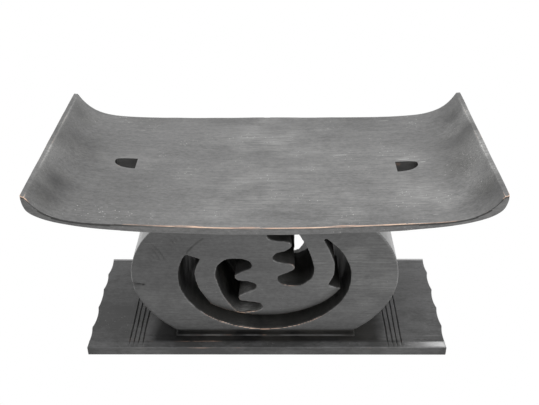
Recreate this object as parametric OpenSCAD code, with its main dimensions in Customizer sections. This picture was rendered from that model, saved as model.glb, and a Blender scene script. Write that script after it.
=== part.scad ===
// Carved stool: a curved seat on an oval drum, both faces of the drum pierced with a knobbed,
// two-hooked figure, the whole standing on a flat plinth. Millimetres, +Z up, with the origin at
// the centre of the underside. Members meet face to face, and each one is a closed solid.

/* [Seat] */
// Span of the seat from tip to tip
seat_span = 444; // [420:2:470]
// Depth of the seat at mid-span, front to back
seat_depth = 228; // [210:2:250]
// How far the front and back edges draw in from mid-span
seat_bow = 4; // [1:0.5:8]
// Height of the upper face at mid-span
seat_height = 194; // [190:0.5:200]
// Height of the tips
tip_height = 227.5; // [212:0.5:236]
// Rise of the long shallow sweep; the upturned ends make up the rest
sweep_rise = 6.5; // [2:0.5:9]
// Width of the flat along the top of each tip
tip_width = 4.5; // [2:0.5:6]
// How far that flat rises outwards
tip_lift = 1; // [0.5:0.5:3]
// Height of the upright edge outside that flat
tip_edge = 4; // [2:0.5:7]
// Thickness of the board at the middle of its front and back edges
edge_thick = 8; // [6:0.5:10]
// Extra thickness along the middle of the board
belly = 7; // [4:0.5:9]
// Distance from the centre at which the belly has died away
belly_reach = 180; // [165:1:185]
// Radius of the belly, front to back
crown_radius = 394; // [300:2:500]

/* [Finger slots] */
// Distance from the centre to the flat side of each slot
slot_x = 136; // [125:1:145]
// Length of a slot along the seat
slot_length = 23; // [18:1:28]
// Reach of a slot forward of its tip, where it tapers
slot_front = 14; // [10:0.5:16]
// Reach of a slot behind its tip, where it runs nearly straight
slot_back = 6.5; // [4:0.5:9]
// Distance of the left slot's tip behind the centre line
slot_left_y = 5.5; // [-6:0.5:8]
// Distance of the right slot's tip behind the centre line
slot_right_y = -2.5; // [-6:0.5:8]

/* [Drum] */
// Offset of the drum from the middle of the seat
drum_x = -1.3; // [-3:0.1:3]
// Depth of the drum, front to back
drum_depth = 120; // [104:1:136]
// Half width of the outer oval
drum_a = 141.3; // [130:0.1:150]
// Half height of the outer oval
drum_b = 103; // [100:0.5:110]
// Height of the outer oval's centre
drum_z = 92; // [90:0.5:96]
// Half width of the inner oval
hollow_a = 91.6; // [88:0.1:96]
// Half height of the inner oval
hollow_b = 71.2; // [69:0.1:73]
// Height of the inner oval's centre
hollow_z = 91.3; // [90.5:0.1:93]

/* [Figure] */
// Height of the figure's centre
figure_z = 99.3; // [98:0.1:100.5]
// Half width of the figure's lower band
band_a = 88; // [86:0.5:89]
// Half height of the figure's lower band
band_b = 61.5; // [60.5:0.5:63]
// Sideways offset of the back carving, seen from behind
back_shift_x = -1.5; // [-7:0.5:2]
// Height of the back carving above the front one
back_shift_z = -6; // [-7:0.5:2]

/* [Plinth] */
// Length of the plinth
plinth_length = 394; // [360:2:420]
// Depth of the plinth, front to back
plinth_depth = 160; // [150:2:180]
// Thickness of the plinth
plinth_thick = 13.5; // [12:0.5:14]
// Height of the upright front and back faces
plinth_face = 10.5; // [6:0.5:11]
// Width of the bevel along the front and back
plinth_bevel = 7; // [3:0.5:9]
// Number of gouge cuts along each end
scallop_count = 5; // [3:1:7]
// Depth of a gouge cut
scallop_depth = 2.3; // [1:0.1:4]
// Distance of each band of grooves from the drum's centre line
groove_x = 134.5; // [120:0.5:150]
// Number of grooves in a band
groove_count = 4; // [1:1:6]
// Spacing of the grooves
groove_pitch = 5; // [4:0.5:6]
// Width of a groove
groove_width = 1.8; // [1:0.1:2.5]
// Depth of a groove
groove_depth = 1.2; // [0.5:0.1:2]

/* [Foot pad] */
// Length of the raised pad under the drum
pad_length = 198; // [194:1:206]
// Depth of the pad, front to back
pad_depth = 131; // [124:1:140]
// Height of the pad above the plinth
pad_height = 2.5; // [2:0.5:3]
// Width of the pad's chamfer
pad_chamfer = 1.5; // [0.5:0.5:2]

/* [Hidden] */

black_stain = [0.20, 0.20, 0.20];
matt_stain = [0.15, 0.15, 0.15];
deep_stain = [0.10, 0.09, 0.09];

seat_steps = 30;    // facets along half the seat
oval_steps = 96;    // facets round an oval
curve_steps = 4;    // facets between two points of a smooth outline
lip_power = 14.5;   // how late and how steeply the ends turn up
under_bend = 3.3;   // how late the underside leaves the level
under_close = 0.36; // how steeply it closes up under the tips
belly_power = 6;    // how late the belly dies away towards the tips
bow_reach = 170;    // distance from mid-span at which the seat is narrowest
reach = 400;        // more than any distance across the stool

drum_half = drum_depth / 2;
pad_top = plinth_thick + pad_height;
lip_rise = tip_height - tip_lift - seat_height - sweep_rise;

// The figure is drawn about its own centre and reads the same upside down, so each outline below
// is used twice, the second time turned half round.

// Outer side of the right hook, from the notch beside the tail up to the drum's inner oval
hook_side = [[67.2, -17.3], [71.2, -9], [73.8, -1], [73.9, 8.6], [71.2, 19.5], [67, 30], [60.5, 43.9], [57, 51]];
// Tip of the tail, where the lower band ends
tail_tip = [81.5, -23];
// Where the left hook's outer side runs into the lower band, in degrees round the band's oval
band_start = 228;
// Where the lower band ends, in degrees round the same oval
band_end = 337;

// The left hollow: the inner side of the hook, then three bays with two knobs between them
bay_outline = [
    [-28.5, -56.4], [-35, -49], [-43.2, -34.5], [-48.8, -19], [-51.9, -4], [-49, 9], [-38.5, 17],
    [-25, 17.4], [-15.4, 13.4], [-14.2, 6.2], [-24, 1],
    [-31.8, -4.8], [-28.6, -11], [-18, -12.4],
    [-8.9, -17], [-12, -24.4], [-21.5, -27.5],
    [-28.2, -33.4], [-25.4, -38.8], [-16, -40.3],
    [-4.4, -43.2], [-3.6, -50.2], [-14, -54.6]];

// Extra width cut on the outer side of the back carving's left hollow
back_relief = [[-30, -53], [-37, -50.5], [-42, -44.5], [-46.5, -36], [-52, -22], [-55, -8], [-52, 4], [-44, 8],
               [-42, -10], [-30, -45]];

// Zone that holds the left hook: it parts the figure at the notch and at the thin neck below the
// hollow, and otherwise runs through open space
hook_zone = [[-67.2, 17.3], [-40, 12.4], [-43, -5], [-37, -32], [-27, -54], [-26.4, -70], [-120, -70], [-120, 5]];

// ---------- curves ----------

// Points round part of an oval
function oval_arc(a, b, from, to, steps) =
    [for (i = [0 : steps]) let (t = from + (to - from) * i / steps) [a * cos(t), b * sin(t)]];

function oval(a, b) = oval_arc(a, b, 0, 360 * (1 - 1 / oval_steps), oval_steps - 1);

// A point between p[1] and p[2] of a smooth curve through four points
function smooth(p, t) =
    let (line = p[2] - p[0],
         bend = 2 * p[0] - 5 * p[1] + 4 * p[2] - p[3],
         twist = 3 * (p[1] - p[2]) + p[3] - p[0])
    p[1] + (line * t + bend * t * t + twist * t * t * t) / 2;

// A smooth closed outline through the given points
function smooth_loop(points) =
    let (n = len(points))
    [for (i = [0 : n - 1], k = [0 : curve_steps - 1])
        smooth([for (j = [-1 : 2]) points[(i + j + n) % n]], k / curve_steps)];

// A smooth open line through the given points
function smooth_line(points) =
    let (last = len(points) - 1)
    concat(
        [for (i = [0 : last - 1], k = [0 : curve_steps - 1])
            smooth([for (j = [-1 : 2]) points[min(max(i + j, 0), last)]], k / curve_steps)],
        [points[last]]);

function reversed(points) = [for (i = [len(points) - 1 : -1 : 0]) points[i]];

// ---------- the seat's lines ----------

// Height of the upper face
function seat_top(x) =
    let (t = abs(x) / (seat_span / 2 - tip_width))
    seat_height + sweep_rise * pow(t, 2) + lip_rise * pow(t, lip_power);

// Height of the underside at the front and back edges
function seat_under(x) =
    let (t = abs(x) / (seat_span / 2),
         close = tip_height - tip_edge)
    close - (close - seat_height + edge_thick) * pow(1 - pow(t, under_bend), under_close);

// Height of the belly's lowest line
function belly_under(x) =
    seat_under(x) - belly * (1 - pow(abs(x) / belly_reach, belly_power));

// Half the depth of the seat
function seat_half(x) = seat_depth / 2 - seat_bow / 2 * (1 - cos(180 * x / bow_reach));

// Distances along the seat out to a given reach, closer together towards its ends
function stations(far) =
    [for (i = [-seat_steps : seat_steps])
        let (s = i / seat_steps) sign(s) * far * (1 - pow(1 - abs(s), 1.7))];

// ---------- outlines ----------

// Extrudes an outline drawn in X and Z along Y, centred
module along_y(depth) {
    rotate([90, 0, 0]) linear_extrude(depth, center = true) children();
}

// The same, from the mid-plane to the front face of the drum
module front_half() {
    rotate([90, 0, 0]) linear_extrude(drum_half) children();
}

module seat_side() {
    polygon(concat(
        [[-seat_span / 2, tip_height]],
        [for (x = stations(seat_span / 2 - tip_width)) [x, seat_top(x)]],
        [[seat_span / 2, tip_height]],
        [for (x = reversed(stations(seat_span / 2))) [x, seat_under(x)]]));
}

module belly_side() {
    line = stations(belly_reach + 4);
    polygon(concat(
        [for (x = line) [x, seat_under(x) + edge_thick / 2]],
        [for (x = reversed(line)) [x, belly_under(x)]]));
}

module seat_plan() {
    line = stations(seat_span / 2);
    polygon(concat(
        [for (x = line) [x, -seat_half(x)]],
        [for (x = reversed(line)) [x, seat_half(x)]]));
}

// The whole board, before its slots are cut
module seat_board() {
    intersection() {
        union() {
            along_y(seat_depth + 2) seat_side();
            intersection() {
                along_y(seat_depth + 2) belly_side();
                translate([0, 0, seat_height - edge_thick - belly + crown_radius]) rotate([0, 90, 0])
                    cylinder(h = seat_span, r = crown_radius, center = true, $fn = 360);
            }
        }
        linear_extrude(reach) seat_plan();
    }
}

// A finger slot, flat on the side nearer the middle of the seat
module slot_plan() {
    polygon(concat(
        oval_arc(slot_length, slot_front, -90, 0, 16),
        [for (t = [6 : 6 : 90]) [slot_length * sqrt(cos(t)), slot_back * sqrt(sin(t))]]));
}

module hollow_oval() {
    translate([drum_x, hollow_z]) polygon(oval(hollow_a, hollow_b));
}

// Moves an outline to the centre of the front carving or of the back one
module at_centre(back) {
    shift = back ? [back_shift_x, back_shift_z] : [0, 0];
    translate([drum_x, figure_z] + shift) children();
}

// The figure inside the drum's inner oval, with its two hollows cut out
module figure_outline(back) {
    notch = hook_side[0];
    difference() {
        intersection() {
            hollow_oval();
            at_centre(back) polygon(concat(
                smooth_line(hook_side),
                [[57, reach], [-reach, reach], notch - 2 * tail_tip],
                smooth_line([for (i = [0 : len(hook_side) - 3]) -hook_side[i]]),
                oval_arc(band_a, band_b, band_start, band_end, 30),
                [tail_tip]));
        }
        for (half_turn = [0, 180])
            at_centre(back) rotate(half_turn) polygon(smooth_loop(bay_outline));
        if (back) at_centre(back) polygon(back_relief);
    }
}

// ---------- members ----------

module seat() {
    color(black_stain) difference() {
        seat_board();
        translate([slot_x, slot_right_y, 0]) linear_extrude(reach) slot_plan();
        translate([-slot_x, slot_left_y, 0]) mirror([1, 0, 0]) linear_extrude(reach) slot_plan();
    }
}

// Oval drum, standing on the foot pad and coped to the seat's underside
module drum_ring() {
    color(matt_stain) difference() {
        along_y(drum_depth) difference() {
            intersection() {
                translate([drum_x, drum_z]) polygon(oval(drum_a, drum_b));
                translate([-reach, pad_top]) square([2 * reach, seat_height - edge_thick / 2 - pad_top]);
            }
            hollow_oval();
        }
        seat_board();
    }
}

module hook_zone_at(half_turn, back) {
    at_centre(back) rotate(half_turn) polygon(hook_zone);
}

// Body of the figure: dome, trunk with its knobs, lower band and tail
module spine(back) {
    front_half() difference() {
        figure_outline(back);
        hook_zone_at(0, back);
        hook_zone_at(180, back);
    }
}

module hook(half_turn, back) {
    front_half() intersection() {
        figure_outline(back);
        hook_zone_at(half_turn, back);
    }
}

// Turns the back carving, drawn as seen from behind, to face the back
module at_back() {
    translate([drum_x, 0, 0]) rotate(180) translate([-drum_x, 0, 0]) children();
}

module front_spine() { color(matt_stain) spine(false); }

module front_left_hook() { color(matt_stain) hook(0, false); }

module front_right_hook() { color(matt_stain) hook(180, false); }

module back_spine() { color(deep_stain) at_back() spine(true); }

module back_left_hook() { color(deep_stain) at_back() hook(180, true); }

module back_right_hook() { color(deep_stain) at_back() hook(0, true); }

module foot_pad() {
    half = [pad_length / 2, pad_depth / 2];
    shoulder = pad_height - pad_chamfer;
    color(black_stain) translate([drum_x, 0, plinth_thick]) intersection() {
        along_y(pad_depth) polygon([
            [-half.x, 0], [half.x, 0], [half.x, shoulder], [half.x - pad_chamfer, pad_height],
            [pad_chamfer - half.x, pad_height], [-half.x, shoulder]]);
        rotate([90, 0, 90]) linear_extrude(pad_length, center = true) polygon([
            [-half.y, 0], [half.y, 0], [half.y, shoulder], [half.y - pad_chamfer, pad_height],
            [pad_chamfer - half.y, pad_height], [-half.y, shoulder]]);
    }
}

// One gouge cut across an end of the plinth, as wide as its share of the end
module scallop(i) {
    width = plinth_depth / scallop_count;
    radius = (pow(width / 2, 2) + pow(scallop_depth, 2)) / (2 * scallop_depth);
    translate([plinth_length / 2 - scallop_depth + radius, (i + 0.5) * width - plinth_depth / 2, -1])
        cylinder(h = plinth_thick + 2, r = radius, $fn = 180);
}

module groove(i) {
    x = groove_x + i * groove_pitch;
    translate([x, 0, plinth_thick]) along_y(plinth_depth - 2 * plinth_bevel)
        polygon([[-groove_width / 2, 0], [groove_width / 2, 0], [0, -groove_depth]]);
}

module plinth() {
    half = plinth_depth / 2;
    color(black_stain) difference() {
        rotate([90, 0, 90]) linear_extrude(plinth_length, center = true) polygon([
            [-half, 0], [half, 0], [half, plinth_face], [half - plinth_bevel, plinth_thick],
            [plinth_bevel - half, plinth_thick], [-half, plinth_face]]);
        for (half_turn = [0, 180], i = [0 : scallop_count - 1])
            rotate(half_turn) scallop(i);
        for (half_turn = [0, 180], i = [0 : groove_count - 1])
            translate([drum_x, 0, 0]) rotate(half_turn) groove(i);
    }
}

seat();
drum_ring();
front_spine();
front_left_hook();
front_right_hook();
back_spine();
back_left_hook();
back_right_hook();
foot_pad();
plinth();
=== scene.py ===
import math

import bmesh
import bpy
import numpy as np
from mathutils import Matrix, Vector, kdtree, noise


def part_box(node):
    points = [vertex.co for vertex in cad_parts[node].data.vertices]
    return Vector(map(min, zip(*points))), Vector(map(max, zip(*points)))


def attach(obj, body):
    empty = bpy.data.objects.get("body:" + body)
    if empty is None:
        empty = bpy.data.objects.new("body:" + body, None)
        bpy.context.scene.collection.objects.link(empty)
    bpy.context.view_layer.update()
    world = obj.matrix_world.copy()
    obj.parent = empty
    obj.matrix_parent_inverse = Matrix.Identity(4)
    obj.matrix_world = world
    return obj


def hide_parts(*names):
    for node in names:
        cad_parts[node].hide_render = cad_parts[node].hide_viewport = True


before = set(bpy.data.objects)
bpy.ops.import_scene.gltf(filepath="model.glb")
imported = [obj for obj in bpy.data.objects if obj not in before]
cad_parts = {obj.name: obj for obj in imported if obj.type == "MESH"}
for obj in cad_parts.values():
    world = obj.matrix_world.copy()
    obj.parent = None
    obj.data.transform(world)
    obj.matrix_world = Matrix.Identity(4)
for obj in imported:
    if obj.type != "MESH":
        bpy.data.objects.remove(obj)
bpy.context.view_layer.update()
mm = 0.001
print("frame loaded:", len(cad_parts), "nodes")

# ---- camera, floor and light

viewer = {
    "place": (0.0128, -0.6803, 0.5906),
    "yaw": 0.76, "pitch": 33.03, "roll": -0.5,  # degrees: turned left, looking down, tipped
    "lens": 50, "sensor": 36,
}

studio = {
    "floorSize": 14.0,
    "floorGlow": 1.0,
    "skyStrength": 1.0,
    "lamps": [  # name, place, aimed at, size, watts
        ("overhead", (0.10, 0.35, 1.9), (0.0, 0.0, 0.1), 1.7, 14),
        ("topRight", (0.60, 0.10, 1.9), (0.0, 0.0, 0.1), 0.5, 15),
        ("rightFront", (1.0, -1.05, 0.5), (0.0, 0.0, 0.1), 0.6, 11),
    ],
}


def placeCamera(spec):
    yaw, pitch, roll = (math.radians(spec[k]) for k in ("yaw", "pitch", "roll"))
    level = Vector((-math.sin(yaw), math.cos(yaw), 0))
    right = Vector((math.cos(yaw), math.sin(yaw), 0))
    ahead = level * math.cos(pitch) - Vector((0, 0, 1)) * math.sin(pitch)
    up = level * math.sin(pitch) + Vector((0, 0, 1)) * math.cos(pitch)
    tippedRight = right * math.cos(roll) + up * math.sin(roll)
    tippedUp = up * math.cos(roll) - right * math.sin(roll)
    lens = bpy.data.cameras.new("camera")
    lens.lens, lens.sensor_width = spec["lens"], spec["sensor"]
    camera = bpy.data.objects.new("camera", lens)
    bpy.context.scene.collection.objects.link(camera)
    turn = Matrix((tippedRight, tippedUp, -ahead)).transposed().to_4x4()
    camera.matrix_world = Matrix.Translation(spec["place"]) @ turn
    bpy.context.scene.camera = camera


def glowingPaper(name, strength):  # an evenly lit sweep: it shows no shadow
    material = bpy.data.materials.new(name)
    material.use_nodes = True
    shader = material.node_tree.nodes["Principled BSDF"]
    shader.inputs["Base Color"].default_value = (0, 0, 0, 1)
    shader.inputs["Specular IOR Level"].default_value = 0
    shader.inputs["Emission Color"].default_value = (1, 1, 1, 1)
    shader.inputs["Emission Strength"].default_value = strength
    return material


def buildStudio(spec):
    half = spec["floorSize"] / 2
    mesh = bpy.data.meshes.new("floor")
    corners = [(-half, -half, 0), (half, -half, 0), (half, half, 0), (-half, half, 0)]
    mesh.from_pydata(corners, [], [(0, 1, 2, 3)])
    floor = bpy.data.objects.new("floor", mesh)
    bpy.context.scene.collection.objects.link(floor)
    mesh.materials.append(glowingPaper("paperSweep", spec["floorGlow"]))
    for name, place, aim, size, watts in spec["lamps"]:
        lamp = bpy.data.lights.new(name, "AREA")
        lamp.size, lamp.energy = size, watts
        holder = bpy.data.objects.new(name, lamp)
        holder.location = place
        holder.rotation_euler = (Vector(aim) - Vector(place)).to_track_quat("-Z", "Y").to_euler()
        bpy.context.scene.collection.objects.link(holder)
    world = bpy.data.worlds.new("whiteTent")
    world.use_nodes = True
    world.node_tree.nodes["Background"].inputs["Color"].default_value = (1, 1, 1, 1)
    world.node_tree.nodes["Background"].inputs["Strength"].default_value = spec["skyStrength"]
    bpy.context.scene.world = world
    bpy.context.scene.view_settings.view_transform = "Standard"


placeCamera(viewer)
buildStudio(studio)
print("camera and studio placed")

# ---- shader maths


class Wire:  # one socket of a node tree, so that shader sums read as sums
    def __init__(self, tree, socket=None):
        self.tree, self.socket = tree, socket

    def node(self, kind, settings, inputs, output=0):
        made = self.tree.nodes.new(kind)
        for key, value in settings.items():
            if key == "stops":
                ramp = made.color_ramp
                ramp.elements[0].position, ramp.elements[1].position = value[0][0], value[-1][0]
                for place, _ in value[1:-1]:
                    ramp.elements.new(place)
                for element, (_, grey) in zip(ramp.elements, value):
                    element.color = (grey, grey, grey, 1)
            else:
                setattr(made, key, value)
        for key, value in inputs.items():
            if isinstance(value, Wire):
                self.tree.links.new(value.socket, made.inputs[key])
            else:
                made.inputs[key].default_value = value
        return Wire(self.tree, made.outputs[output])

    def sum(self, operation, first, second=0.0, clamp=False):
        settings = {"operation": operation, "use_clamp": clamp}
        return self.node("ShaderNodeMath", settings, {0: first, 1: second})

    def __add__(self, other):
        return self.sum("ADD", self, other)

    def __radd__(self, other):
        return self.sum("ADD", other, self)

    def __sub__(self, other):
        return self.sum("SUBTRACT", self, other)

    def __rsub__(self, other):
        return self.sum("SUBTRACT", other, self)

    def __mul__(self, other):
        return self.sum("MULTIPLY", self, other)

    def __rmul__(self, other):
        return self.sum("MULTIPLY", other, self)

    def __truediv__(self, other):
        return self.sum("DIVIDE", self, other)

    def __pow__(self, other):
        return self.sum("POWER", self, other)

    def held(self):  # kept between 0 and 1
        return self.sum("ADD", self, 0.0, clamp=True)

    def between(self, low, high):  # 0 below low, 1 above high, smooth between
        return self.node("ShaderNodeMapRange", {"interpolation_type": "SMOOTHSTEP"},
                         {"Value": self, "From Min": low, "From Max": high})

    def tint(self, first, second):  # from the first colour to the second as this goes from 0 to 1
        return self.node("ShaderNodeMix", {"data_type": "RGBA"}, {0: self, 6: first, 7: second}, output=2)


def grain(at, scale, stretch, detail=4.0, rough=0.55):
    spread = at.node("ShaderNodeVectorMath", {"operation": "MULTIPLY"}, {0: at, 1: stretch})
    return at.node("ShaderNodeTexNoise", {}, {
        "Vector": spread, "Scale": scale, "Detail": detail, "Roughness": rough})


def specks(at, scale, stretch, size):  # round dots on a jittered lattice: 1 in a dot
    spread = at.node("ShaderNodeVectorMath", {"operation": "MULTIPLY"}, {0: at, 1: stretch})
    away = at.node("ShaderNodeTexVoronoi", {"feature": "F1"}, {"Vector": spread, "Scale": scale})
    return 1 - away.between(size * 0.5, size)


blackStain = {
    "seatWood": {"stain": (0.112, 0.111, 0.110, 1), "deep": (0.046, 0.046, 0.046, 1), "rough": 0.44,
                 "dust": 1.0, "scratches": 1.6, "mottle": 0.0, "grainDepth": 0.00008},
    "drumWood": {"stain": (0.068, 0.068, 0.068, 1), "deep": (0.032, 0.032, 0.032, 1), "rough": 0.44,
                 "dust": 0.25, "scratches": 0.35, "mottle": 0.15, "grainDepth": 0.00011},
    "figureWood": {"stain": (0.076, 0.076, 0.076, 1), "deep": (0.038, 0.038, 0.038, 1), "rough": 0.44,
                   "dust": 0.25, "scratches": 0.35, "mottle": 0.15, "grainDepth": 0.00016},
    "plinthWood": {"stain": (0.070, 0.070, 0.071, 1), "deep": (0.026, 0.026, 0.026, 1), "rough": 0.32,
                   "dust": 0.4, "scratches": 0.5, "mottle": 0.75, "grainDepth": 0.00010},
}
# the dust colour is also used for painted light and painted highlights
bareWood = {"pale": (0.58, 0.44, 0.34, 1), "red": (0.24, 0.12, 0.08, 1), "dust": (0.40, 0.40, 0.39, 1)}
coatRoughness = 0.30
# painted shade: a near-black, rougher look that every finish is mixed into where shade is painted
paintedShadeLook = {"dark": (0.002, 0.002, 0.002, 1), "light": (0.022, 0.021, 0.019, 1), "rough": 0.55, "gloss": 0.16,
           "coat": 0.15, "coatRough": 0.26}


def stainedWood(name, spec):
    material = bpy.data.materials.new(name)
    material.use_nodes = True
    tree = material.node_tree
    shader = tree.nodes["Principled BSDF"]
    start = Wire(tree)
    at = start.node("ShaderNodeTexCoord", {}, {}, output="Object")
    edge, inside, haze, polish = (start.node("ShaderNodeAttribute", {"attribute_name": key}, {}, output="Fac")
                                  for key in ("edgeWear", "inside", "haze", "polish"))
    streaks = grain(at, 60, (0.22, 3.2, 3.2), 6)
    fineGrain = grain(at, 240, (0.12, 3.0, 3.0), 4)
    cloud = grain(at, 9, (0.5, 1.3, 1.3), 3)
    patches = grain(at, 26, (1, 1, 1), 5)
    pores = grain(at, 430, (0.45, 1, 1), 4, 0.75)
    tone = streaks.between(0.32, 0.70) * 0.26 + cloud.between(0.3, 0.7) * 0.38
    tone = tone + fineGrain.between(0.3, 0.7) * 0.14 + pores.between(0.3, 0.7) * 0.62 - 0.19
    blotch = grain(at, 38, (0.7, 1, 1), 5, 0.65).between(0.42, 0.66)
    colour = (tone - blotch * spec["mottle"]).held().tint(spec["deep"], spec["stain"])
    dust = specks(at, 260, (1, 1, 1), 0.18) * patches.between(0.50, 0.66)
    # pale smears: dust, and also painted light and painted highlights where the attribute carries them
    smearAndPaintedLight = haze * (0.35 + fineGrain.between(0.35, 0.65) * 0.65) * patches.between(0.30, 0.62)
    film = patches.between(0.5, 0.8) * fineGrain.between(0.4, 0.7) * 0.12
    colour = ((dust * 0.7 + film) * spec["dust"] + smearAndPaintedLight * 0.29).held().tint(colour, bareWood["dust"])
    lines = specks(at, 46, (0.12, 5.0, 5.0), 0.085) * grain(at, 14, (1, 1, 1), 2).between(0.46, 0.58)
    colour = (lines * spec["scratches"] * (0.35 + haze)).held().tint(colour, bareWood["dust"])
    rub = grain(at, 105, (0.5, 1, 1), 5)
    bare = (edge * 2.1 + (rub - 0.5) * 2.6 - 0.75).held()
    wood = (edge * 0.75 + grain(at, 120, (0.4, 1, 1), 3) - 0.5).held().tint(bareWood["red"], bareWood["pale"])
    colour = bare.tint(colour, wood)
    tree.links.new(colour.socket, shader.inputs["Base Color"])
    rough = (spec["rough"] + (streaks - 0.5) * 0.16 + (patches - 0.5) * 0.2 + bare * 0.2).held()
    tree.links.new(rough.socket, shader.inputs["Roughness"])
    tree.links.new(polish.socket, shader.inputs["Coat Weight"])
    shader.inputs["Coat Roughness"].default_value = coatRoughness
    height = streaks * 0.5 + fineGrain * 0.5 - lines * 0.5 + patches * 0.4
    bump = start.node("ShaderNodeBump", {}, {
        "Height": height, "Strength": 0.6, "Distance": spec["grainDepth"]})
    tree.links.new(bump.socket, shader.inputs["Normal"])
    # painted shade: this near-black surface is mixed over the finish by the shade attribute read above
    paintedShadeColour = patches.between(0.35, 0.65).tint(paintedShadeLook["dark"], paintedShadeLook["light"])
    paintedShadeSurface = start.node("ShaderNodeBsdfPrincipled", {}, {
        "Base Color": bare.tint(paintedShadeColour, wood), "Roughness": paintedShadeLook["rough"],
        "Specular IOR Level": paintedShadeLook["gloss"], "Coat Weight": paintedShadeLook["coat"],
        "Coat Roughness": paintedShadeLook["coatRough"], "Normal": bump})
    face = Wire(tree, shader.outputs["BSDF"])
    blend = start.node("ShaderNodeMixShader", {}, {0: inside.held(), 1: face, 2: paintedShadeSurface})
    tree.links.new(blend.socket, tree.nodes["Material Output"].inputs["Surface"])
    return material


materials = {name: stainedWood(name, spec) for name, spec in blackStain.items()}
print("finishes made:", ", ".join(materials))

# ---- shaping helpers


def meshPoints(mesh):
    flat = np.empty(len(mesh.vertices) * 3)
    mesh.vertices.foreach_get("co", flat)
    return flat.reshape(-1, 3)


def meshNormals(mesh):
    flat = np.empty(len(mesh.vertices) * 3)
    mesh.vertices.foreach_get("normal", flat)
    return flat.reshape(-1, 3)


def setPoints(mesh, points):
    mesh.vertices.foreach_set("co", np.ascontiguousarray(points, dtype=np.float64).ravel())
    mesh.update()


def addAttribute(mesh, name, values):
    layer = mesh.attributes.get(name) or mesh.attributes.new(name, "FLOAT", "POINT")
    layer.data.foreach_set("value", np.ascontiguousarray(values, dtype=np.float32))


def addFaceAttribute(mesh, name, values):
    layer = mesh.attributes.new(name, "FLOAT", "FACE")
    layer.data.foreach_set("value", np.ascontiguousarray(values, dtype=np.float32))


def ripple(points, scale, seed):  # soft noise from -1 to 1 at every point
    shift = Vector((seed * 7.3, seed * 3.1, seed * 5.7))
    scaled = points * np.array(scale)
    return np.array([noise.noise(Vector(p) + shift) for p in scaled])


def gougeMarks(points, cell, seed):  # 0 in the middle of each scoop, rising to the ridges between them
    cell = np.array(cell)
    scaled = points / cell
    low = np.floor(scaled.min(axis=0)).astype(int) - 1
    high = np.ceil(scaled.max(axis=0)).astype(int) + 1
    spread = np.random.default_rng(seed)
    steps = [np.arange(first, last) for first, last in zip(low, high)]
    lattice = np.stack(np.meshgrid(*steps, indexing="ij"), -1).reshape(-1, 3)
    seeds = lattice + spread.random(lattice.shape)
    tree = kdtree.KDTree(len(seeds))
    for index, place in enumerate(seeds):
        tree.insert(place, index)
    tree.balance()
    return np.array([tree.find(p)[2] for p in scaled]) ** 2


def convexity(mesh):  # how far each vertex stands proud of its neighbours
    points, normals = meshPoints(mesh), meshNormals(mesh)
    ends = np.empty(len(mesh.edges) * 2, dtype=np.int64)
    mesh.edges.foreach_get("vertices", ends)
    ends = ends.reshape(-1, 2)
    step = points[ends[:, 1]] - points[ends[:, 0]]
    length = np.linalg.norm(step, axis=1) + 1e-9
    total = np.zeros(len(points))
    count = np.zeros(len(points))
    for here, sign in ((0, 1), (1, -1)):
        fall = -sign * np.einsum("ij,ij->i", normals[ends[:, here]], step) / length
        np.add.at(total, ends[:, here], fall)
        np.add.at(count, ends[:, here], 1)
    return total / np.maximum(count, 1)


def crowded(values, reach, places, edgeFree):  # evenly spaced values, drawn in towards each place
    ruler = np.linspace(-reach, reach, 6000)
    crowd = 1 + 4.5 * np.max([np.exp(-((ruler - g) / (1.8 * mm)) ** 2) for g in places], axis=0)
    pace = np.cumsum(crowd)
    pace = ((pace - pace[0]) / (pace[-1] - pace[0]) * 2 - 1) * reach
    return np.where(np.abs(values) < reach - edgeFree, np.interp(values, pace, ruler), values)


def near(points, places, base):  # base, raised round each (x, y, z, reach, strength) in millimetres
    total = np.full(len(points), float(base))
    for x, y, z, reach, strength in places:
        away = np.linalg.norm(points - np.array([x, y, z]) * mm, axis=1)
        total = total + strength * np.exp(-(away / (reach * mm)) ** 2)
    return total


def wearFrom(mesh, start, span):  # 0 where the surface is flat, 1 along its proud edges
    return np.clip((convexity(mesh) - start) / span, 0, 1)


def newObject(name, mesh):
    made = bpy.data.objects.new(name, mesh)
    bpy.context.scene.collection.objects.link(made)
    return made


def bakeModifiers(piece):  # leaves the piece with its modifiers' result as a plain mesh
    graph = bpy.context.evaluated_depsgraph_get()
    result = bpy.data.meshes.new_from_object(piece.evaluated_get(graph))
    piece.modifiers.clear()
    old = piece.data
    piece.data = result
    result.name = old.name
    bpy.data.meshes.remove(old)
    return piece


def cutWith(piece, cutter, operation):
    step = piece.modifiers.new("cut", "BOOLEAN")
    step.operation, step.object, step.solver = operation, cutter, "MANIFOLD"
    return bakeModifiers(piece)


def prism(name, outline, low, high):  # an outline in X and Z, carried along Y from low to high
    form = bmesh.new()
    front = [form.verts.new((x, low, z)) for x, z in outline]
    back = [form.verts.new((x, high, z)) for x, z in outline]
    form.faces.new(front)
    form.faces.new(back[::-1])
    for i in range(len(outline)):
        j = (i + 1) % len(outline)
        form.faces.new((front[j], front[i], back[i], back[j]))
    bmesh.ops.recalc_face_normals(form, faces=form.faces)
    mesh = bpy.data.meshes.new(name)
    form.to_mesh(mesh)
    form.free()
    return newObject(name, mesh)


def copyOf(piece, name):
    twin = piece.copy()
    twin.data = piece.data.copy()
    twin.name = name
    bpy.context.scene.collection.objects.link(twin)
    return twin


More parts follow.
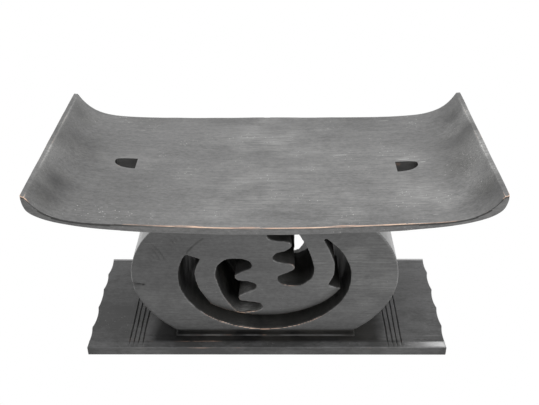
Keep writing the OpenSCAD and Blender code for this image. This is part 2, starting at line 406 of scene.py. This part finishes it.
def roundedBoard(name, size, cuts, edge):  # a box with rounded edges and an even grid on its faces
    form = bmesh.new()
    bmesh.ops.create_cube(form, size=1.0, matrix=Matrix.Diagonal((*size, 1)))
    bmesh.ops.bevel(form, geom=form.edges[:], offset=edge, segments=3, profile=0.5,
                    affect="EDGES", clamp_overlap=False)
    for axis in range(3):
        span = size[axis] - 2.2 * edge
        long = [e for e in form.edges if abs((e.verts[0].co - e.verts[1].co)[axis]) > span]
        bmesh.ops.subdivide_edges(form, edges=long, cuts=cuts[axis], use_grid_fill=True)
    mesh = bpy.data.meshes.new(name)
    form.to_mesh(mesh)
    form.free()
    return newObject(name, mesh)


def finishPiece(piece, material, node, sharpAngle=50):
    piece.data.materials.clear()
    piece.data.materials.append(materials[material])
    piece.data.polygons.foreach_set("use_smooth", [True] * len(piece.data.polygons))
    piece.data.set_sharp_from_angle(angle=math.radians(sharpAngle))
    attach(piece, "root")
    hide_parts(node)
    print("finished", piece.name, len(piece.data.polygons), "faces")


# ---- seat

seatLow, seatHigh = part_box("seat")
seatSpec = {
    "height": 194 * mm, "sweep": 6.5 * mm, "lipPower": 14.5,
    "tipFlat": 4.5 * mm, "tipLift": 1 * mm, "tipEdge": 4 * mm, "tipRound": 1.3 * mm, "edgeThick": 8 * mm,
    "underBend": 3.3, "underClose": 0.36,
    "belly": 7 * mm, "bellyReach": 180 * mm, "bellyPower": 6, "crown": 394 * mm,
    "bow": 4 * mm, "bowReach": 170 * mm,
    "edge": 1.1 * mm, "cuts": (280, 140, 4),
    "slotX": 136 * mm, "slotLength": 23 * mm, "slotFront": 14 * mm, "slotBack": 6.5 * mm,
    "slots": ((-1, 5.5 * mm), (1, -2.5 * mm)),
    "worn": (  # where the stain has rubbed off the edges
        (60, -112, 195, 75, 0.75), (148, -108, 197, 30, 0.6),
        (-60, -113, 195, 50, 0.75), (-130, -110, 197, 24, 0.4),
        (219, -109, 226, 6, 0.9), (-219, -109, 226, 7, 0.9),
        (217, 60, 226, 20, 0.35), (-217, -10, 226, 45, 0.45),
        (217, 5, 226, 14, 0.5), (-217, 50, 226, 14, 0.5)),
    "hazeAndHighlightSpots": (
        (-148, 14, 196, 24, 0.55), (150, 4, 196, 24, 0.5), (70, 20, 195, 60, 0.4), (150, -58, 198, 36, 0.75),
        (182, -84, 201, 20, 0.5), (80, -72, 195, 30, 0.5), (-60, -50, 195, 50, 0.2), (207, 62, 214, 14, 0.9),
        (204, -53, 211, 14, 0.4), (0, 70, 194, 60, 0.65), (-10, -75, 194, 60, 0.55), (221, -75, 227, 22, 1.3),
        (221, -20, 227, 30, 1.3), (221, 35, 227, 30, 1.3), (221, 85, 227, 26, 0.9),
        (-221, -80, 227, 24, 0.9), (-221, 0, 227, 40, 0.7), (-221, 90, 227, 24, 0.8)),
    # patches darkened on the upper face, most of them on the curled ends
    "darkPatches": (
        (-207, -87, 214, 20, 0.55), (-203, -54, 210, 17, 0.5), (-209, 83, 217, 20, 0.4),
        (208, 81, 215, 20, 0.4), (198, -22, 206, 22, 0.4), (211, -78, 218, 18, 0.5),
        (-150, -60, 197, 60, 0.14), (-205, 20, 212, 38, 0.42), (-137, 107, 197, 26, 0.2),
        (-50, 112, 195, 22, 0.15), (100, 112, 195, 26, 0.2), (208, 25, 214, 30, 0.45)),
    "bareUpper": 0.17, "bareUnder": 0.1,  # wear on the edges away from those places
    "swayHeight": 0.35 * mm, "handHeight": 0.10 * mm, "facetHeight": 0.45 * mm,
    "creaseHalf": 0.7 * mm, "creaseHaze": 2.2,
    "undersideShade": 0.45,
}


def seatTop(x, spec):
    crease = seatHigh.x - spec["tipFlat"]
    t = np.minimum(np.abs(x) / crease, 1)
    lip = seatHigh.z - spec["tipLift"] - spec["height"] - spec["sweep"]
    flat = np.clip((np.abs(x) - crease) / spec["tipFlat"], 0, 1) * spec["tipLift"]
    return spec["height"] + spec["sweep"] * t ** 2 + lip * t ** spec["lipPower"] + flat


def seatUnder(x, y, spec):
    far = np.minimum(np.abs(x), seatHigh.x)
    close = seatHigh.z - spec["tipEdge"]
    rise = (1 - (far / seatHigh.x) ** spec["underBend"]) ** spec["underClose"]
    edge = close - (close - spec["height"] + spec["edgeThick"]) * rise
    belly = edge - spec["belly"] * (1 - (far / spec["bellyReach"]) ** spec["bellyPower"])
    lowest = spec["height"] - spec["edgeThick"] - spec["belly"]
    crown = lowest + spec["crown"] - np.sqrt(spec["crown"] ** 2 - y ** 2)
    return np.minimum(edge, np.maximum(belly, crown))


def seatSlot(name, side, y, spec):
    turn = np.radians(np.linspace(0, 90, 16))
    front = [(spec["slotLength"] * math.sin(t), -spec["slotFront"] * math.cos(t)) for t in turn]
    back = [(spec["slotLength"] * math.sqrt(max(math.cos(t), 0)), spec["slotBack"] * math.sqrt(math.sin(t)))
            for t in turn[1:]]
    back[-1] = (0, spec["slotBack"])
    form = bmesh.new()
    ring = [form.verts.new((side * (spec["slotX"] + a), b + y, seatLow.z - 10 * mm)) for a, b in front + back]
    face = form.faces.new(ring)
    grown = bmesh.ops.extrude_face_region(form, geom=[face])["geom"]
    raised = [v for v in grown if isinstance(v, bmesh.types.BMVert)]
    bmesh.ops.translate(form, verts=raised, vec=(0, 0, 80 * mm))
    bmesh.ops.recalc_face_normals(form, faces=form.faces)
    mesh = bpy.data.meshes.new(name)
    form.to_mesh(mesh)
    form.free()
    return newObject(name, mesh)


def evenSteps(reach, height):  # a curve's distances from the middle, and the x at each
    xs = reach * (1 - (1 - np.linspace(0, 1, 4000)) ** 3)
    zs = height(xs)
    return np.concatenate([[0], np.cumsum(np.hypot(np.diff(xs), np.diff(zs)))]), xs


def buildSeat(spec):
    deep = seatHigh.y
    topRun, topX = evenSteps(seatHigh.x, lambda x: seatTop(x, spec))
    underRun, underX = evenSteps(seatHigh.x, lambda x: seatUnder(x, deep, spec))
    size = (2 * topRun[-1], 2 * deep, spec["edgeThick"])
    board = roundedBoard("seat_board", size, spec["cuts"], spec["edge"])
    p = meshPoints(board.data)
    crease = np.interp(seatHigh.x - spec["tipFlat"], topX, topRun)
    along = np.abs(crowded(p[:, 0], topRun[-1], (-crease, crease), 1.2 * spec["edge"])) / topRun[-1]
    share = 0.5 - p[:, 2] / spec["edgeThick"]  # 0 on the upper face, 1 on the underside
    xTop = np.interp(along * topRun[-1], topRun, topX)
    xUnder = np.interp(along * underRun[-1], underRun, underX)
    px = xTop + (xUnder - xTop) * share
    rounding = np.clip((px - (seatHigh.x - spec["tipFlat"])) / spec["tipFlat"], 0, 1) ** 2 * spec["tipRound"]
    halfDepth = deep - spec["bow"] / 2 * (1 - np.cos(np.pi * px / spec["bowReach"])) - rounding
    py = p[:, 1] * halfDepth / deep
    zTop, zUnder = seatTop(xTop, spec), seatUnder(xUnder, py, spec)
    points = np.stack([np.sign(p[:, 0]) * px, py, zTop + (zUnder - zTop) * share], axis=1)
    setPoints(board.data, points)
    normals = meshNormals(board.data)
    flatness = np.abs(normals[:, 1]) < 0.5
    sway = ripple(points, (9, 26, 9), 1) * spec["swayHeight"]
    sway = sway + ripple(points, (22, 70, 22), 2) * spec["handHeight"]
    facets = ripple(points, (34, 20, 60), 3) * spec["facetHeight"]
    setPoints(board.data, points + normals * np.where(flatness, sway, facets)[:, None])
    for index, (sideSign, y) in enumerate(spec["slots"]):
        cutter = seatSlot("slotCutter%d" % index, sideSign, y, spec)
        cutWith(board, cutter, "DIFFERENCE")
        bpy.data.objects.remove(cutter)
    mesh = board.data
    p = meshPoints(mesh)
    upper = np.abs(p[:, 2] - seatTop(p[:, 0], spec)) < 3 * mm
    exposed = np.where(upper, near(p, spec["worn"], spec["bareUpper"]), spec["bareUnder"])
    addAttribute(mesh, "edgeWear", wearFrom(mesh, 0.05, 0.07) * exposed)
    fromCrease = (np.abs(p[:, 0]) - seatHigh.x + spec["tipFlat"]) / spec["creaseHalf"]
    creaseLine = np.exp(-fromCrease ** 2) * np.clip(0.7 + ripple(p, (0, 35, 0), 17) * 2.4, 0, 1)
    addAttribute(mesh, "haze", np.where(upper, near(p, spec["hazeAndHighlightSpots"], 0) + creaseLine * spec["creaseHaze"], 0))
    addFaceAttribute(mesh, "inside", seatShade(mesh, spec))
    finishPiece(board, "seatWood", "seat", sharpAngle=32)


def seatShade(mesh, spec):  # painted shade in the slots, under the board and under the lip; darker in listed patches, most on the curled ends
    count = len(mesh.polygons)
    normals, centres = np.empty(count * 3), np.empty(count * 3)
    mesh.polygons.foreach_get("normal", normals)
    mesh.polygons.foreach_get("center", centres)
    n, c = normals.reshape(-1, 3), centres.reshape(-1, 3)
    fromEnd = seatHigh.x - np.abs(c[:, 0])
    inSlot = (np.abs(n[:, 2]) < 0.5) & (np.abs(c[:, 1]) < 40 * mm) & (fromEnd > 40 * mm)
    slotShade = np.where(n[:, 1] < -0.5, 0.66, 0.98)
    shade = np.where(inSlot, slotShade, np.where(n[:, 2] < -0.6, spec["undersideShade"], 0))
    underLip = (n[:, 1] < -0.6) & (seatTop(c[:, 0], spec) - c[:, 2] < 2.6 * mm)
    shade = np.where(underLip, np.clip((np.abs(c[:, 0]) - 90 * mm) / (60 * mm), 0.15, 0.75), shade)
    return np.where((n[:, 2] > 0.3), np.clip(near(c, spec["darkPatches"], 0), 0, 0.6), shade)


buildSeat(seatSpec)

# ---- drum and figure, carved as one and then parted

drumLow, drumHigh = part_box("drum_ring")
drumSpec = {
    "members": ("drum_ring", "front_spine", "front_left_hook", "front_right_hook",
                "back_spine", "back_left_hook", "back_right_hook"),
    "voxel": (1.35 * mm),
    "middle": (drumLow.x + drumHigh.x) / 2,
    "figureZ": 99.3 * mm,
    "ovalZ": 91.3 * mm, "ovalA": 91.6 * mm, "ovalB": 71.2 * mm,
    "bandA": 88 * mm, "bandB": 61.5 * mm,
    "face": drumHigh.y,
    "backShift": (-1.5, -6),  # the back carving's offset, seen from behind, in millimetres
    "worn": (  # edges where the wood shows through
        (-20, -60, 46, 9, 1.2), (26, -60, 84, 11, 1.3), (-20, -60, 21, 16, 1.6), (22, -60, 21, 16, 1.6),
        (22.6, -60, 40, 5, 0.6), (0, -60, 21, 14, 1.0),
        (-50, -60, 32, 22, 1.3), (52, -60, 32, 22, 1.0), (-49, -60, 80, 30, 0.25), (48, -60, 100, 25, 0.3)),
    "lit": (  # up-facing cut walls near the front where light reaches in: less painted shade and painted pale light there
        (-15, -56, 46, 18, 1.3), (-25, -54, 88, 14, 0.55), (-22, -54, 67, 10, 0.55), (20, -54, 85, 16, 0.3),
        (15, -54, 108, 12, 0.3), (0, -50, 22, 45, 0.08)),
    "hazeAndHighlightSpots": ((112, -60, 95, 50, 0.55), (-105, -60, 55, 38, 0.4),
             (0, -60, 120, 40, 0.15), (62, -60, 110, 30, 0.25)),
    "edgeHazeAndHighlight": 1.3, "litHaze": 2.5, "strayWear": 0.40,
    "scoopCell": (9 * mm, 26 * mm, 9 * mm), "scoopHeight": 1.0 * mm, "scoopSink": 0.38 * mm,
    "adzeCell": (20 * mm, 30 * mm, 20 * mm), "adzeHeight": 0.5 * mm,
    "faceSway": 0.22 * mm, "chatterDepth": 0.8 * mm, "chatterPitch": 0.95 * mm, "scribeDepth": 0.5 * mm,
    "fallReach": 13 * mm, "fallDepth": 2.6 * mm,  # the lower band falls away towards the channel
    "contactShadow": 4 * mm,  # height of the painted contact shadow along the foot of the drum
    "edgePolish": 0.9,
    "notch": (-141.5, -127.8, 82.6, 3.6, 3.0),  # rim, tip, height, half width and depth of a chisel slip
    "scribe": (-82, -64, 120),  # the oval scribed on beyond the figure's head: from, to, above
    "chatter": (-98, 134, 24),  # middle and reach of the rippled patch
    "hookZone": ((-67.2, 17.3), (-40, 12.4), (-43, -5), (-37, -32), (-27, -54), (-26.4, -70),
                 (-120, -70), (-120, 5)),
}


def joinMembers(names):
    form = bmesh.new()
    for name in names:
        form.from_mesh(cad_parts[name].data)
    mesh = bpy.data.meshes.new("drumBlock")
    form.to_mesh(mesh)
    form.free()
    return newObject("drumBlock", mesh)


def carveDrum(spec):
    block = joinMembers(spec["members"])
    remesh = block.modifiers.new("voxels", "REMESH")
    remesh.mode, remesh.voxel_size = "VOXEL", spec["voxel"]
    soften = block.modifiers.new("soften", "SMOOTH")
    soften.factor, soften.iterations = 0.5, 2
    bakeModifiers(block)
    mesh = block.data
    p, n = meshPoints(mesh), meshNormals(mesh)
    x, y, z = p[:, 0] - spec["middle"], p[:, 1], p[:, 2]
    wear = wearFrom(mesh, 0.08, 0.24)
    facing = np.abs(n[:, 1])
    ovalReach = np.hypot(x / spec["ovalA"], (z - spec["ovalZ"]) / spec["ovalB"])
    innerWall = (facing < 0.6) & (ovalReach < 1.06)
    outerWall = (facing < 0.6) & ~innerWall
    flatFace = facing >= 0.6
    front = y < -spec["face"] + 3 * mm
    scoops = gougeMarks(p, spec["scoopCell"], 5)
    adze = gougeMarks(p, spec["adzeCell"], 6)
    lift = np.where(innerWall, scoops * spec["scoopHeight"] - spec["scoopSink"], 0)
    lift = lift + np.where(outerWall, adze * spec["adzeHeight"], 0)
    lift = lift + np.where(flatFace, ripple(p, (30, 30, 60), 4) * spec["faceSway"], 0)
    midX, midZ, reach = spec["chatter"]
    patch = np.exp(-(((p[:, 0] / mm - midX) / reach) ** 2 + ((z / mm - midZ) / reach) ** 2))
    waves = np.sin((p[:, 0] + z * 0.7) / spec["chatterPitch"] + ripple(p, (40, 1, 40), 15) * 4)
    broken = np.clip(ripple(p, (90, 1, 60), 16) * 3, 0, 1)
    ripples = np.where(flatFace & front, patch * np.clip(waves, 0, 1) * broken, 0)
    lift = lift - ripples * spec["chatterDepth"]
    onScribe = np.clip(1.2 - np.abs(ovalReach - 1) * spec["ovalB"] / mm, 0, 1)
    first, last, above = (v * mm for v in spec["scribe"])
    onScribe = onScribe * ((p[:, 0] > first) & (p[:, 0] < last) & (z > above) & front)
    moved = p + n * (lift - onScribe * spec["scribeDepth"])[:, None]
    bandReach = np.hypot(x / spec["bandA"], (z - spec["figureZ"]) / spec["bandB"])
    fromEdge = (1 - bandReach) * 66 * mm
    lowerBand = (np.abs(y) > spec["face"] - 3 * mm) & (bandReach < 1.03) & (z < spec["figureZ"] - 14 * mm)
    fallShare = np.where(lowerBand, np.clip(1 - fromEdge / spec["fallReach"], 0, 1.2) ** 2, 0)
    moved[:, 1] -= np.sign(y) * fallShare * spec["fallDepth"]
    rim, tip, level, half, depth = (v * mm for v in spec["notch"])
    along = np.clip((p[:, 0] - rim) / (tip - rim), 0, 1)
    slip = np.clip(1 - np.abs(z - level - along * 0.7 * mm) / (half * (1 - along) + 0.01 * mm), 0, 1)
    slip = slip * (p[:, 0] < tip) * np.clip((-spec["face"] + 6 * mm - y) / (5 * mm), 0, 1)
    moved[:, 1] += slip * depth
    underSeat = seatUnder(p[:, 0], y, seatSpec) - z < 1.7 * mm
    moved[:, 2] += np.where(underSeat, 1.8 * mm, 0) - np.where(z < drumLow.z + 1.2 * mm, 1.5 * mm, 0)
    setPoints(mesh, moved)
    addAttribute(mesh, "edgeWear", np.clip(wear * near(p, spec["worn"], spec["strayWear"]), 0, 1))
    # painted shade: darker the further a surface lies behind the face inside the oval, less on worn edges
    fromFace = spec["face"] - np.abs(y)
    shade = np.clip((fromFace - 0.8 * mm) / (2.5 * mm), 0, 1) * 0.62
    shade = shade + np.clip(fromFace / (24 * mm), 0, 1) * 0.38
    shade = np.where(ovalReach < 1.04, shade, 0) * np.where(wear > 0.35, 0.4, 1)
    # painted contact shadow along the foot of the drum
    contactShadow = np.clip((drumLow.z + spec["contactShadow"] - z) / (1.5 * mm), 0, 1)
    # the lit walls near the front take less painted shade
    shade = shade * (1 - np.clip(near(p, spec["lit"], 0), 0, 0.85) * (n[:, 2] > 0.2))
    # painted shade also on the falling lower band, in the scribed line, the chisel slip and the chatter
    # troughs
    addAttribute(mesh, "inside", np.maximum.reduce([
        shade, np.clip(fallShare, 0, 1) * 0.8, onScribe * 0.6, slip * 0.5, ripples * 0.7, contactShadow * 0.85]))
    # painted light: a pale tone on the up-facing bay walls near the front
    litWall = np.clip(near(p, spec["lit"], 0), 0, 1) * (n[:, 2] > 0.2) * (ovalReach < 1.04)
    # pale patches on the faces, and pale lines on the proud edges: partly worn, partly a painted highlight
    # where the edges catch light
    faceHazeAndHighlight = np.where(flatFace, near(p, spec["hazeAndHighlightSpots"], 0), 0) + wear * spec["edgeHazeAndHighlight"]
    addAttribute(mesh, "haze", np.maximum(litWall * spec["litHaze"], faceHazeAndHighlight))
    addAttribute(mesh, "polish", np.where(outerWall, spec["edgePolish"], 0))
    print("drum block carved:", len(mesh.polygons), "faces")
    return block


def turnedZone(spec, halfTurn, mirrored):
    sign = -1 if halfTurn else 1
    flip = -1 if mirrored else 1
    aside, up = spec["backShift"] if mirrored else (0, 0)
    return [(spec["middle"] + flip * (sign * a + aside) * mm, spec["figureZ"] + (sign * b + up) * mm)
            for a, b in spec["hookZone"]]


def buildDrum(spec):
    block = carveDrum(spec)
    source = kdtree.KDTree(len(block.data.vertices))
    for index, vertex in enumerate(block.data.vertices):
        source.insert(vertex.co, index)
    source.balance()
    count = len(block.data.vertices)
    kept = {name: np.empty(count, dtype=np.float32) for name in ("edgeWear", "inside", "polish", "haze")}
    for name, values in kept.items():
        block.data.attributes[name].data.foreach_get("value", values)
    turn = np.radians(np.arange(0, 360, 3))
    oval = list(zip(spec["middle"] + (spec["ovalA"] - 1.5 * mm) * np.cos(turn),
                    spec["ovalZ"] + (spec["ovalB"] - 1.5 * mm) * np.sin(turn)))
    reach = spec["face"] + 10 * mm

    def part(name, cuts, material, node):
        piece = copyOf(block, name)
        for outline, low, high, operation in cuts:
            cutter = prism("cutter", outline, low, high)
            cutWith(piece, cutter, operation)
            bpy.data.objects.remove(cutter)
        nearest = [source.find(v.co)[1] for v in piece.data.vertices]
        for key, values in kept.items():
            addAttribute(piece.data, key, values[nearest])
        finishPiece(piece, material, node)

    part("drum_wall", [(oval, -reach, reach, "DIFFERENCE")], "drumWood", "drum_ring")
    for face, low, high, mirrored in (("front", -reach, 0, False), ("back", 0, reach, True)):
        ovalCut = (oval, low, high, "INTERSECT")
        left, right = turnedZone(spec, mirrored, mirrored), turnedZone(spec, not mirrored, mirrored)
        hookCuts = [(zone, low - mm, high + mm, "DIFFERENCE") for zone in (left, right)]
        part(face + "_figure_body", [ovalCut, *hookCuts], "figureWood", face + "_spine")
        part(face + "_left_arm", [ovalCut, (left, low - mm, high + mm, "INTERSECT")],
             "figureWood", face + "_left_hook")
        part(face + "_right_arm", [ovalCut, (right, low - mm, high + mm, "INTERSECT")],
             "figureWood", face + "_right_hook")
    bpy.data.objects.remove(block)


buildDrum(drumSpec)

# ---- foot pad and plinth

plinthLow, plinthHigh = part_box("plinth")
padLow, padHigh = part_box("foot_pad")
plinthSpec = {
    "edge": 0.7 * mm, "cuts": (420, 90, 4),
    "faceHeight": 10.5 * mm, "bevel": 7 * mm,
    "scallops": 5, "scallopDepth": 2.3 * mm,
    "grooveX": 134.5 * mm, "groovePitch": 5 * mm, "grooves": 4,
    "grooveHalf": 0.9 * mm, "grooveDepth": 1.1 * mm, "grooveWander": 0.8 * mm, "grooveShade": 0.42,
    # painted shade: on the top under the drum and seat, in the grooves, and on the front faces
    "underDrum": 133 * mm, "gloom": 0.85, "gloomFade": 12 * mm, "frontShade": 0.24,
    "strayWear": 0.28,
    "worn": ((-67, -79, 11, 24, 0.8), (113, -76, 12, 5, 0.9),
             (-130, -75, 12, 30, 0.2), (160, -77, 12, 30, 0.2)),
    # painted highlights: light crescents on the bevel at the left and the right
    "hazeAndHighlightSpots": ((-128, -72, 13, 30, 0.5), (150, -72, 13, 30, 0.4)),
}
padSpec = {"cuts": (120, 80, 1), "edge": 1.2 * mm, "sunk": 1 * mm, "shade": 0.9}


def buildPlinth(spec):
    low, high = plinthLow, plinthHigh
    size = high - low
    board = roundedBoard("plinth_board", size, spec["cuts"], spec["edge"])
    p = meshPoints(board.data)
    halfLength, halfDepth, height = size.x / 2, size.y / 2, size.z
    grooveAt = [drumSpec["middle"] + s * (spec["grooveX"] + i * spec["groovePitch"])
                for s in (-1, 1) for i in range(spec["grooves"])]
    x = crowded(p[:, 0], halfLength, grooveAt, 1.2 * spec["edge"])
    bevelLine = halfDepth - spec["bevel"]
    y = np.where(np.abs(np.abs(p[:, 1]) - bevelLine) < 0.9 * mm, np.sign(p[:, 1]) * bevelLine, p[:, 1])
    up = (p[:, 2] + height / 2) / height  # 0 at the floor, 1 at the top
    drop = np.clip((np.abs(y) - bevelLine) / spec["bevel"], 0, 1) * (height - spec["faceHeight"])
    z = up * (height - drop)
    scoop = spec["scallopDepth"] * chipCuts(y, halfDepth, spec["scallops"], np.sign(x))
    lean = 0.55 + 0.45 * up  # the cuts bite deeper at the top
    x = x - np.sign(x) * scoop * lean * np.clip((np.abs(x) - (halfLength - 14 * mm)) / (12 * mm), 0, 1) ** 2
    groove = np.zeros(len(x))
    for index, g in enumerate(grooveAt):
        wander = ripple(np.stack([y, y * 0, y * 0], 1), (25, 1, 1), 20 + index) * spec["grooveWander"]
        groove = np.maximum(groove, np.clip(1 - np.abs(x - g - wander) / spec["grooveHalf"], 0, 1))
    onTop = up > 0.97
    runOut = np.clip((halfDepth - 2 * mm - np.abs(y)) / (5 * mm), 0, 1)
    z = z - np.where(onTop, groove * spec["grooveDepth"] * runOut, 0)
    points = np.stack([x, y, z], axis=1) + np.array([(low.x + high.x) / 2, (low.y + high.y) / 2, low.z])
    setPoints(board.data, points)
    n = meshNormals(board.data)
    above = np.clip(points[:, 2] / (3 * mm), 0, 1)
    lift = (ripple(points, (18, 40, 20), 9) * 0.3 + ripple(points, (60, 90, 60), 10) * 0.1) * mm * above
    points = points + n * lift[:, None]
    points[:, 2] = np.maximum(points[:, 2], 0)
    setPoints(board.data, points)
    mesh = board.data
    ledge = wearFrom(mesh, 0.05, 0.09)
    addAttribute(mesh, "edgeWear", np.clip(ledge * near(points, spec["worn"], spec["strayWear"]), 0, 1))
    # painted highlights on the bevel
    addAttribute(mesh, "haze", near(points, spec["hazeAndHighlightSpots"], 0))
    sloped = np.abs(np.abs(y) - halfDepth + spec["bevel"] / 2) < spec["bevel"] / 2
    brightening = np.clip(0.5 + points[:, 0] / (2 * halfLength), 0, 1)
    addAttribute(mesh, "polish", np.where(sloped & (up > 0.5), 0.25 + 0.75 * brightening, 0))
    # painted shade on the top under the drum, fading towards the ends, and in the grooves; the front faces
    # painted evenly darker
    fromMiddle = np.abs(points[:, 0] - drumSpec["middle"]) + ripple(points, (30, 30, 30), 13) * 12 * mm
    gloom = np.clip((spec["underDrum"] - fromMiddle) / spec["gloomFade"], 0, 1) * spec["gloom"]
    gloom = gloom * np.clip((halfDepth - 5 * mm - np.abs(y)) / (4 * mm), 0, 1)
    topShade = np.maximum(groove * runOut * spec["grooveShade"], gloom)
    addAttribute(mesh, "inside", np.where(onTop, topShade, spec["frontShade"]))
    finishPiece(board, "plinthWood", "plinth", sharpAngle=18)


def chipCuts(y, halfDepth, count, side):  # uneven scoops along each end: 1 at the deepest
    spread = np.random.default_rng(11)
    total = np.zeros(len(y))
    for end in (-1, 1):
        marks = np.linspace(-halfDepth, halfDepth, count + 1)
        marks[1:-1] += spread.uniform(-3, 3, count - 1) * mm
        depths = spread.uniform(0.7, 1.0, count)
        for first, last, depth in zip(marks[:-1], marks[1:], depths):
            share = (y - first) / (last - first)
            inCut = (side == end) & (share >= 0) & (share <= 1)
            total = np.where(inCut, depth * (1 - np.abs(2 * share - 1) ** 2.2), total)
    return total


def buildPad(spec):
    size = padHigh - padLow + Vector((0, 0, spec["sunk"]))
    pad = roundedBoard("foot_step", size, spec["cuts"], spec["edge"])
    p = meshPoints(pad.data) + np.array([(padLow.x + padHigh.x) / 2, (padLow.y + padHigh.y) / 2,
                                        padHigh.z - size.z / 2])
    p = p + meshNormals(pad.data) * (ripple(p, (35, 35, 35), 12) * 0.35 * mm)[:, None]
    setPoints(pad.data, p)
    ledge = wearFrom(pad.data, 0.05, 0.09) * (p[:, 2] > padHigh.z - 1.3 * mm)
    addAttribute(pad.data, "edgeWear", ledge * 0.3)
    # painted shade over the whole pad except a ragged line along its top front edge, which is painted pale
    broken = np.clip(0.5 + ripple(p, (45, 20, 20), 14) * 1.6, 0, 1)
    addAttribute(pad.data, "haze", ledge * broken * np.clip(1.6 - np.abs(p[:, 0]) / (60 * mm), 0, 1))
    addAttribute(pad.data, "inside", (1 - ledge * broken * 0.8) * spec["shade"])
    finishPiece(pad, "plinthWood", "foot_pad")


buildPlinth(plinthSpec)
buildPad(padSpec)
